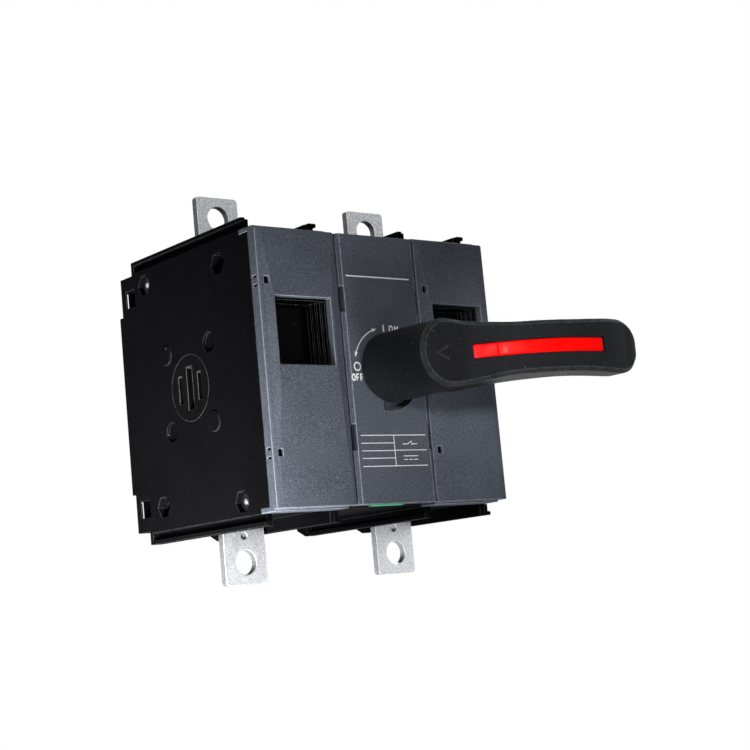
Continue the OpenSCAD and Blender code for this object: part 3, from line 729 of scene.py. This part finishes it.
rows, ends = handle_stations()
nth = np.arange(len(rows))
first = {x: int(np.argmax(np.isclose(rows[:, 0], x))) for x in ends}
in_step = (nth > first[ends[0]]) & (nth <= first[ends[3]])
in_slot = (nth > first[ends[1]]) & (nth <= first[ends[2]])
print("half outline:", len(rows), "stations, slot rows:", int(in_slot.sum()))


# %% The handle's grid
def edge_profile(round_r, flat, steps=4):
    """A chamfer with a small round at both ends, as (inset, drop) from the face's plane.

    Each round turns by 45 degrees, and the flat between them lies at 45 degrees.
    """
    turn = np.radians(np.linspace(0, 45, steps + 1))
    s = math.sqrt(0.5)
    total = round_r + s * flat
    one = np.stack([total - round_r * np.sin(turn), round_r * (1 - np.cos(turn))], 1)
    two = np.stack([round_r * (1 - np.cos(turn[::-1])), total - round_r * np.sin(turn[::-1])], 1)
    return np.vstack([one, two])


def drawn_in(depth, x):
    """How far the hub's draft moves the outline in at a depth; it fades out to the waist."""
    rise = np.clip((depth - BASE_D) / (HUB_FRONT_D - 3.5 - BASE_D), 0, 1)
    width = (half_height(np.maximum(x, 0)) - WAIST_R) / (HUB_R - WAIST_R)
    return HUB_DRAFT * rise * np.clip(width, 0, 1)


def handle_grid():
    """Points of the handle: rows round the outline, columns from front to back."""
    loop = np.vstack([rows, rows[::-1] * [1, -1, 1]])
    slot_row = np.concatenate([in_slot, in_slot[::-1]])[:, None]
    step_row = np.concatenate([in_step, in_step[::-1]])[:, None]
    edge = loop[:, :2]
    middle = np.stack([loop[:, 2], 0 * loop[:, 2]], 1)
    out = edge - middle
    length = np.linalg.norm(out, axis=1)[:, None]
    out = out / length
    narrow = length - drawn_in(HUB_FRONT_D, edge[:, :1])
    thick = (rounded_tip(edge[:, 0], 1) - rounded_tip(edge[:, 0], -1))[:, None]
    chamfer = edge_profile(1.1, 2.0)
    scale = np.clip(thick / 9.0, 0.02, 1)
    fixed = np.array([0, 1.3, 2.6, 3.6, SLOT_Z, SLOT_Z, SLOT_Z + 0.15, SLOT_Z + RIM - 0.15,
                      SLOT_Z + RIM, SLOT_Z + RIM, SLOT_Z + RIM + 0.2, SLOT_Z + RIM + 0.8])
    inner = np.broadcast_to(fixed, (len(loop), len(fixed)))
    start, stop = inner[:, -1:], narrow - chamfer[0, 0] * scale
    share = np.linspace(0, 1, 12)[None, 1:]
    face = np.hstack([inner, start + (stop - 0.25 - start) * share])
    slot_column = np.arange(face.shape[1])[None] <= 4
    step_column = np.arange(face.shape[1])[None] <= 8
    sunk = np.where(slot_row & slot_column, 1.8, np.where(step_row & step_column, 0.35, 0.0))
    over = narrow - chamfer[None, :, 0] * scale
    across = np.hstack([face, over])
    drop = np.hstack([sunk, np.broadcast_to(chamfer[None, :, 1], over.shape) * scale])
    x = middle[:, :1] + out[:, :1] * across
    z = out[:, 1:] * across
    front = in_frame(x, rounded_tip(x, 1) - drop, z)
    return front, edge, middle, out, length, scale


front, edge, middle, out, length, scale = handle_grid()
print("front grid:", front.shape)


def handle_back():
    """Side wall, rounded back edge and back face, joined to the front grid's last column."""
    top = -front[:, -1, 1][:, None] / MM
    turn = np.radians(np.linspace(0, 90, 8))[None]
    back_r = 1.8 * scale
    floor = rounded_tip(edge[:, :1], -1)
    on_hub = edge[:, :1] < 0.01
    floor = np.where(on_hub, BASE_D, floor)
    wall = top + (floor + back_r - top) * np.linspace(0, 1, 5)[None, 1:]
    wall_across = length - drawn_in(wall, edge[:, :1])
    behind = length - drawn_in(floor, edge[:, :1])
    bend_across = behind - back_r * (1 - np.cos(turn))
    bend = floor + back_r * (1 - np.sin(turn))
    share = np.linspace(1, 0, 12)[None, 1:]
    back_across = (behind - back_r) * share
    across = np.hstack([wall_across, bend_across, back_across])
    x = middle[:, :1] + out[:, :1] * across
    z = out[:, 1:] * across
    flat = np.where(on_hub, BASE_D, rounded_tip(x[:, -back_across.shape[1]:], -1))
    return in_frame(x, np.hstack([wall, bend, flat]), z)


grip = np.concatenate([front, handle_back()], axis=1)
# Painted highlight strength across the chamfer: one line on each of its two rounds.
CHAMFER_GLINT = [0, 0.7, 1, 0.7, 0.3, 0.3, 0.7, 1, 0.7, 0]
glint_edge = np.zeros(grip.shape[:2])
glint_edge[:, front.shape[1] - len(CHAMFER_GLINT):front.shape[1]] = CHAMFER_GLINT
handle_mesh = add_surface("pistol_handle", [grip], "handle", "handle_black", handle_plastic,
                          ["handle_body"], **ROWS_CLOSE, crest=glint_edge)
print("pistol handle:", len(handle_mesh.polygons), "faces")

# %% [markdown]
# ## The hub's collar
#
# Under the neck the hub goes on as a plain round collar down to a hair above the cover.
# It is a profile turned about the handle's axis: a row of (radius, depth) pairs swept
# through a full circle.

# %% Turned pieces about the handle's axis


def full_turn(steps):
    """Angles once round, as a column, without the last that would meet the first."""
    return np.linspace(0, 2 * np.pi, steps, endpoint=False)[:, None]


def turned(profile, sides=96):
    """A profile of (radius, depth) pairs turned about the line x = 0, z = 0."""
    angle = full_turn(sides)
    radius, depth = np.asarray(profile, float).T
    return in_frame(radius * np.cos(angle), depth, radius * np.sin(angle))


collar = [(0, BASE_D), (HUB_R - 1.4, BASE_D), (HUB_R - 0.4, BASE_D + 0.5),
          (HUB_R - 0.1, BASE_D + 1.5), (HUB_R - 0.4, NECK_BACK_D + 2), (0, NECK_BACK_D + 2)]
collar_mesh = add_surface("hub_collar", [turned(collar)], "handle", "handle_black",
                          handle_plastic, **ROWS_CLOSE)
print("hub collar:", len(collar_mesh.polygons), "faces")

# %% [markdown]
# ## The red insert
#
# The coloured strip shows from across a room which way the handle points. It is a bar
# that follows the front arc, softly rounded at its rim, and its inner end near the hub
# lies a step deeper. Rows run round its rounded outline, as on the handle.

# %% The insert's grid


def insert_grid(x_low, x_high, half, corner, step_x):
    """Rows round a strip with rounded corners; columns from its middle line down the rim."""
    turn = np.radians(np.linspace(0, 90, 7))
    left_side = np.stack([x_low + 0 * turn, (half - corner) * np.linspace(0, 1, 7)], 1)
    left_bend = np.stack([x_low + corner - corner * np.cos(turn),
                          half - corner + corner * np.sin(turn)], 1)
    x = np.sort(np.concatenate([np.linspace(x_low + half, x_high - half, 70), [step_x] * 2]))
    straight = np.stack([x, half + 0 * x], 1)
    right_bend = left_bend[::-1] * [-1, 1] + [x_low + x_high, 0]
    right_side = left_side[::-1] * [-1, 1] + [x_low + x_high, 0]
    upper = np.vstack([left_side, left_bend, straight, right_bend, right_side])
    before = len(left_side) + len(left_bend)
    low_part = np.arange(len(upper)) <= before + int(np.argmax(x == step_x))
    loop = np.vstack([upper, upper[::-1] * [1, -1]])
    low_part = np.concatenate([low_part, low_part[::-1]])[:, None]
    middle = np.clip(loop[:, :1], x_low + half, x_high - half)
    out = np.hstack([loop[:, :1] - middle, loop[:, 1:]])
    length = np.linalg.norm(out, axis=1)[:, None]
    out = out / np.maximum(length, 1e-9)
    rim, crown, thick, zero = 0.45, 0.25, 2.3, 0 * length
    bend = np.radians(np.linspace(0, 90, 6))[None]
    across = np.hstack([(length - rim - 0.1) * np.linspace(0, 1, 8)[None],
                        length - rim * (1 - np.sin(bend)), length, zero])
    x = middle + out[:, :1] * across
    z = out[:, 1:] * across
    drop = np.hstack([crown * (across[:, :8] / half) ** 2,
                      crown + rim * (1 - np.cos(bend)) + zero, thick + zero, thick + zero])
    return in_frame(x, rounded_tip(x, 1) - 0.1 - drop - np.where(low_part, 0.9, 0.0), z)


insert_mesh = add_surface("red_insert", [insert_grid(15.6, 82.4, 3.72, 1.1, 25.0)], "handle",
                          "handle_red", insert_red, ["handle_insert"], **ROWS_CLOSE)
print("red insert:", len(insert_mesh.polygons), "faces")

# %% [markdown]
# ## Lines on a face
#
# The white print and the raised arrow mark on the hub are all lines of a given width.
# A line is a flat bar carried along a path: at every point of the path the bar's
# section is set across the mean direction of the two stretches that meet there, and
# widened there so that the bar keeps its width round the corner.

# %% A bar carried along a path


def carried(path, width, low, high, closed=False, taper=0.0):
    """A bar along (x, z) points: its width, its back and front depth, and its taper."""
    path = np.asarray(path, float)
    if closed:
        ahead, behind = np.roll(path, -1, 0), np.roll(path, 1, 0)
    else:
        ahead = np.vstack([path[1:], 2 * path[-1] - path[-2]])
        behind = np.vstack([2 * path[0] - path[1], path[:-1]])
    after, before = ahead - path, path - behind
    after /= np.linalg.norm(after, axis=1)[:, None]
    before /= np.linalg.norm(before, axis=1)[:, None]
    side = np.stack([-after[:, 1] - before[:, 1], after[:, 0] + before[:, 0]], 1)
    side /= (1 + (after * before).sum(1))[:, None]
    across = np.array([-0.5, -0.5, 0.5, 0.5]) * width + np.array([0, 1, -1, 0]) * taper
    depth = np.array([low, high, high, low])
    x = path[:, :1] + side[:, :1] * across
    z = path[:, 1:] + side[:, 1:] * across
    grid = in_frame(x, depth, z)
    if not closed:
        ends = [np.broadcast_to(grid[i].mean(0), (1, 4, 3)) for i in (0, -1)]
        grid = np.concatenate([ends[0], grid, ends[1]])
    return grid


def arc_path(x, z, radius_x, radius_z, start, stop, steps):
    """Points on an ellipse between two angles in degrees, anticlockwise from the right."""
    turn = np.radians(np.linspace(start, stop, steps))
    return np.stack([x + radius_x * np.cos(turn), z + radius_z * np.sin(turn)], 1)


def ring_path(x, z, radius_x, radius_z, steps=48):
    """Points once round an ellipse, without the last that would meet the first."""
    return arc_path(x, z, radius_x, radius_z, 0, 360 - 360 / steps, steps)


# The chevron carries half the crest all over, which paints a faint highlight on its raised
# lines.
chevron = carried([(-0.6, 3.0), (-8.6, -0.5), (-0.6, -4.2)], 1.6, HUB_FRONT_D - 0.3,
                  HUB_FRONT_D + 0.4, taper=0.3)
chevron_mesh = add_surface("hub_chevron", [chevron], "handle", "handle_black", handle_plastic,
                           smooth_below=20, crest=np.full(chevron.shape[:2], 0.5))
print("chevron:", len(chevron_mesh.polygons), "faces")

# %% [markdown]
# ## The print on the mechanism cover
#
# The cover carries plain markings: the two positions of the handle with an arrow
# between them, a ruled line, and an empty table with the signs for a switch and for
# direct current. Each is thin white ink on the face, built from carried bars.

# %% Letters and signs
INK_LOW, INK_HIGH = face_d - 0.03, face_d + 0.04


def ink(path, width, closed=False):
    """A carried bar that sinks a little into the cover's face and stands thinly proud."""
    return carried(path, width, INK_LOW, INK_HIGH, closed)


def wedge(tip, base, half):
    """An arrow head: a bar from its base to its tip whose width runs out."""
    tip, base = np.asarray(tip, float), np.asarray(base, float)
    along = (tip - base) / np.linalg.norm(tip - base)
    side = np.array([-along[1], along[0]]) * half
    corners = np.array([base - side, base + side, tip + side * 0.04, tip - side * 0.04])
    middle = corners.mean(0)
    ring = np.stack([middle + 0 * corners, corners, corners, middle + 0 * corners], 1)
    depth = np.array([INK_HIGH, INK_HIGH, INK_LOW, INK_LOW])
    return in_frame(ring[..., 0], depth, ring[..., 1])


def letter_f(x, z, w, h, width):
    """An F from its lower left corner: stem and top in one stroke, then the middle bar."""
    return [ink([(x, z), (x, z + h), (x + w, z + h)], width),
            ink([(x, z + 0.5 * h), (x + 0.85 * w, z + 0.5 * h)], width)]


def letter_n(x, z, w, h, width):
    """An N from its lower left corner: two stems and the slanted stroke."""
    return [ink([(x, z), (x, z + h)], width), ink([(x + w, z), (x + w, z + h)], width),
            ink([(x, z + h), (x + w, z)], width)]


ON_Z, OFF_Z, INK = 20.5, -7.2, 0.75
closed_signs = [
    ink(ring_path(-21.0, 0.6, 2.15, 2.15), 0.7, True),
    ink(ring_path(-24.2, OFF_Z + 1.75, 1.0, 1.75), INK, True),
    ink(ring_path(5.2, ON_Z + 1.75, 1.2, 1.75), INK, True),
]
open_signs = [ink([(-0.2, ON_Z), (-0.2, ON_Z + 4.0)], 0.9)]
open_signs += letter_f(-22.0, OFF_Z, 1.5, 3.5, INK) + letter_f(-19.3, OFF_Z, 1.5, 3.5, INK)
open_signs += letter_n(8.0, ON_Z, 2.1, 3.5, INK)

# %% The turning arrow, the rule and the table
ARROW_R = 22.6
open_signs.append(ink(arc_path(0, 0, ARROW_R, ARROW_R, 110, 158, 40), 0.55))
heads = []
for tip_angle, base_angle in ((104, 111.5), (165, 157.5)):
    tip = arc_path(0, 0, ARROW_R, ARROW_R, tip_angle, tip_angle, 1)[0]
    base = arc_path(0, 0, ARROW_R, ARROW_R, base_angle, base_angle, 1)[0]
    heads.append(wedge(tip, base, 1.0))
LEFT, RIGHT, TOP, FOOT = -23.1, 23.0, -37.4, -54.4
RULES = [((LEFT, z), (RIGHT, z), 0.4) for z in (TOP, FOOT)]
RULES += [((LEFT, z), (0, z), 0.35) for z in (-41.7, -45.9, -50.0)]
RULES += [((0, -45.8), (RIGHT, -45.8), 0.35), ((0, TOP), (0, FOOT), 0.4),
          ((-23.4, 51.2), (21.8, 51.2), 0.75)]
open_signs += [ink([start, stop], width) for start, stop, width in RULES]

# %% The signs for a switch and for direct current, and all the ink as pieces
SIGN_LINES = [((6.0, -42.35), (9.6, -42.35)), ((9.6, -42.35), (12.6, -40.6)),
              ((12.6, -42.35), (16.5, -42.35)), ((12.6, -43.1), (12.6, -41.6)),
              ((5.9, -49.05), (16.4, -49.05))]
SIGN_LINES += [((x, -51.0), (x + 2.7, -51.0)) for x in (6.0, 9.7, 13.4)]
open_signs += [ink(line, 0.4) for line in SIGN_LINES]
for name, grids, loop_rows, loop_columns in (
    ("print_rings", closed_signs, True, True), ("print_lines", open_signs, False, True),
    ("print_arrow_heads", heads, True, False)):
    mesh = add_surface(name, grids, "body", "grey_cover", print_white, loop_rows=loop_rows,
                       loop_columns=loop_columns, smooth_below=20)
    print(name, len(mesh.polygons), "faces")

# %% [markdown]
# ## Nuts and bolts
#
# Two long bolts hold each pole's shells together. On the left a hexagon nut sits in a
# recess with the bolt's threaded end in it, on the right a round head with a hexagon
# socket. Nuts and bolts are blackened; only the cut end of a bolt is bare and bright.
# All are surfaces about the bolt's axis, which runs along X. A hexagon is a radius that
# depends on the angle: the flat's distance divided by the cosine of the angle from the
# middle of the flat.

# %% Surfaces about a bolt's axis


def hexagon(angle, across_corners):
    """The radius of a hexagon at each angle, with corners at 0, 60, 120 ... degrees."""
    flat = np.mod(angle, np.pi / 3) - np.pi / 6
    return across_corners * math.cos(math.pi / 6) / np.cos(flat)


def about_bolt(x, radius, angle, depth, z):
    """Points at a radius and an angle about the line along X at this depth and height."""
    return in_frame(x, depth + radius * np.cos(angle), z + radius * np.sin(angle))


def nut_grid(x_low, x_high, depth, z, corner_r, hole_r):
    """A hexagon nut: hole, face, a cone that cuts the corners, sides, and back again."""
    angle = full_turn(72)
    side = hexagon(angle, corner_r)
    cut = np.minimum(side, 0.885 * corner_r)
    x = np.array([x_low, x_low, x_low + 0.45, x_high - 0.45, x_high, x_high])
    radius = np.hstack([hole_r + 0 * angle, cut, side, side, cut, hole_r + 0 * angle])
    return about_bolt(x, radius, angle, depth, z)


def bolt_grid(x_end, x_head, depth, z, shank_r, head_r, head_t):
    """A bolt: pointed end, a helical thread, plain shank, domed head, hexagon socket.

    On the thread the radius swings with x plus the turned angle, so its ridge climbs
    by one pitch for each turn.
    """
    angle = full_turn(72)
    pitch, thread_l = 0.8, 7.0
    x = np.linspace(x_end + 0.8, x_end + thread_l, 90)[None]
    swing = 0.5 - 0.5 * np.cos(2 * np.pi * ((x - x_end) / pitch - angle / (2 * np.pi)))
    thread = shank_r - 0.32 * swing * np.clip((x_end + thread_l - x) / 0.6, 0, 1)
    zero = 0 * angle
    socket = hexagon(angle, 2.3)
    xs = np.hstack([[x_end + 0.35, x_end + 0.35], x[0], [x_head, x_head, x_head + head_t - 1.1,
                    x_head + head_t - 0.35, x_head + head_t, x_head + head_t,
                    x_head + head_t - 0.25, x_head + head_t - 2.2, x_head + head_t - 2.2]])
    radius = np.hstack([zero, zero + shank_r - 0.55, thread, zero + shank_r, zero + head_r,
                        zero + head_r, zero + head_r - 0.35, zero + head_r - 1.1,
                        socket + 0.25, socket, socket, zero])
    return about_bolt(xs, radius, angle, depth, z)


# %% The four bolts and their nuts
SHANK_R, HEAD_T, NUT_HOLE_R = 2.9, 3.5, 2.65
for side in ("left", "right"):
    for level in ("upper", "lower"):
        bolt, nut = f"tie_bolt_{side}_{level}", f"tie_nut_{side}_{level}"
        low, high = box_mm(bolt)
        nut_low, nut_high = box_mm(nut)
        depth, z = (low[1] + high[1]) / 2, (low[2] + high[2]) / 2
        grid = bolt_grid(low[0], high[0] - HEAD_T, depth, z, SHANK_R, (high[1] - low[1]) / 2,
                         HEAD_T)
        add_surface(bolt + "_turned", [grid], "body", "fastener", dark_zinc, [bolt],
                    **ROWS_CLOSE)
        radius = np.array([[0, 0.9, 1.35, 1.55, 1.55, 0]])
        xs = low[0] + np.array([0.0, 0.0, 0.15, 0.35, 1.0, 1.0])
        grid = about_bolt(xs, radius, full_turn(32), depth, z)
        add_surface(bolt + "_end", [grid], "body", "fastener", zinc, **ROWS_CLOSE)
        grid = nut_grid(nut_low[0], nut_high[0], depth, z, (nut_high[1] - nut_low[1]) / 2,
                        NUT_HOLE_R)
        add_surface(nut + "_hexagon", [grid], "body", "fastener", dark_zinc, [nut],
                    loop_rows=True, loop_columns=True)
print("pieces so far:", len(made))

# %% [markdown]
# ## A floor, soft light and the camera
#
# The switch hangs before a white background. The floor is a large pale disc well below
# it, which glows a little for the camera and in reflections but still takes a shadow.
# The world shows white in the same way and lights the object with far less, so that the
# lamps can shape it. One low on the left grazes the covers and their slanted rims. One
# low in front fills in from below, so that the top of the side wall stays dark. Two
# narrow beams from the front left brighten the grip and its rounded edges, and a large
# lamp behind on the right serves the views from there.

# %% Floor and world


def floor_grid(radius, z):
    """Rings of points about the vertical axis, from the middle out to the radius."""
    angle = full_turn(64)
    ring = radius * np.linspace(0, 1, 9)[None] ** 1.5
    return np.stack([ring * np.cos(angle), ring * np.sin(angle), z + 0 * ring * angle], -1)


def backdrop_rays(tree):
    """One for the rays that show a background: to the camera, and in metal and glass."""
    seen = node(tree, "ShaderNodeLightPath")
    shown = maths(tree, "MAXIMUM", seen.outputs["Is Camera Ray"], seen.outputs["Is Glossy Ray"])
    return maths(tree, "MAXIMUM", shown, seen.outputs["Is Transmission Ray"])


FLOOR_R, FLOOR_Z, FLOOR_COLOUR = 0.5, -0.62, (0.86, 0.86, 0.87)
FLOOR_GLOW, ROOM_LIGHT = 0.7, 0.08
floor_mesh = grid_mesh("floor", [floor_grid(FLOOR_R, FLOOR_Z)], **ROWS_CLOSE)
floor_material, tree, shader, place = new_material("pale_floor")
cloudy = use_group(tree, grain, Place=place, Fineness=400.0, Spread=0.04)
feed(tree, shader, {
    "Base Color": toned(tree, FLOOR_COLOUR, cloudy.outputs["Tone"]), "Roughness": 0.8,
    "Emission Color": (*FLOOR_COLOUR, 1.0),
    "Emission Strength": ramp(tree, backdrop_rays(tree), 0.0, 1.0, 0.0, FLOOR_GLOW)})
floor_mesh.materials.append(floor_material)
floor = bpy.data.objects.new("floor", floor_mesh)
bpy.context.collection.objects.link(floor)

world = bpy.data.worlds.new("white_room")
bpy.context.scene.world = world
world.use_nodes = True
sky = world.node_tree
feed(sky, sky.nodes["Background"], {
    "Color": (1, 1, 1, 1),
    "Strength": ramp(sky, backdrop_rays(sky), 0.0, 1.0, ROOM_LIGHT, 1.0)})
print("the world shows white and lights with", ROOM_LIGHT)

# %% Lamps


def soft_lamp(name, place, aim, size, watts, beam=180):
    """A square area lamp at a place in metres that faces the aim, with a beam in degrees."""
    light = bpy.data.lights.new(name, "AREA")
    light.size, light.energy, light.spread = size, watts, math.radians(beam)
    lamp = bpy.data.objects.new(name, light)
    bpy.context.collection.objects.link(lamp)
    lamp.location = place
    lamp.rotation_euler = (Vector(aim) - Vector(place)).to_track_quat("-Z", "Y").to_euler()


soft_lamp("low_left", (-0.205, -0.180, -0.205), (-0.125, -0.04, -0.05), 0.08, 0.8, 81)
soft_lamp("low_front", (-0.096, -0.600, -0.486), (-0.205, -0.18, -0.15), 0.4, 0.68, 50)
soft_lamp("handle_glow", (-0.436, -0.846, 0.09), (0.052, -0.226, 0.0), 0.12, 0.045, 12)
soft_lamp("left_edges", (-0.70, -0.76, 0.10), (-0.04, -0.17, 0.0), 0.14, 0.03, 20)
soft_lamp("back_right", (0.7, 0.6, 0.5), (0.0, -0.08, 0.0), 0.5, 14.0)

# %% [markdown]
# ## The camera
#
# The camera stands to the left of the switch and slightly below its middle, with an
# 80 mm lens, and looks a little upwards. Its turn is given by the directions of its
# right side, its top and its view.

# %% Place the camera
camera = bpy.data.objects.new("camera", bpy.data.cameras.new("camera"))
bpy.context.collection.objects.link(camera)
forward = Vector((0.6288, 0.7651, 0.1385)).normalized()
right = forward.cross(Vector((-0.0160, -0.1654, 0.9861))).normalized()
top = right.cross(forward)
turn = Matrix((right, top, -forward)).transposed()
camera.matrix_world = Matrix.Translation((-0.5853, -0.8456, -0.1309)) @ turn.to_4x4()
camera.data.lens, camera.data.sensor_width = 79.99, 36.0
camera.data.clip_start, camera.data.clip_end = 0.05, 50.0
bpy.context.scene.camera = camera
bpy.context.scene.view_settings.view_transform = "Standard"
print("camera at", camera.location[:])
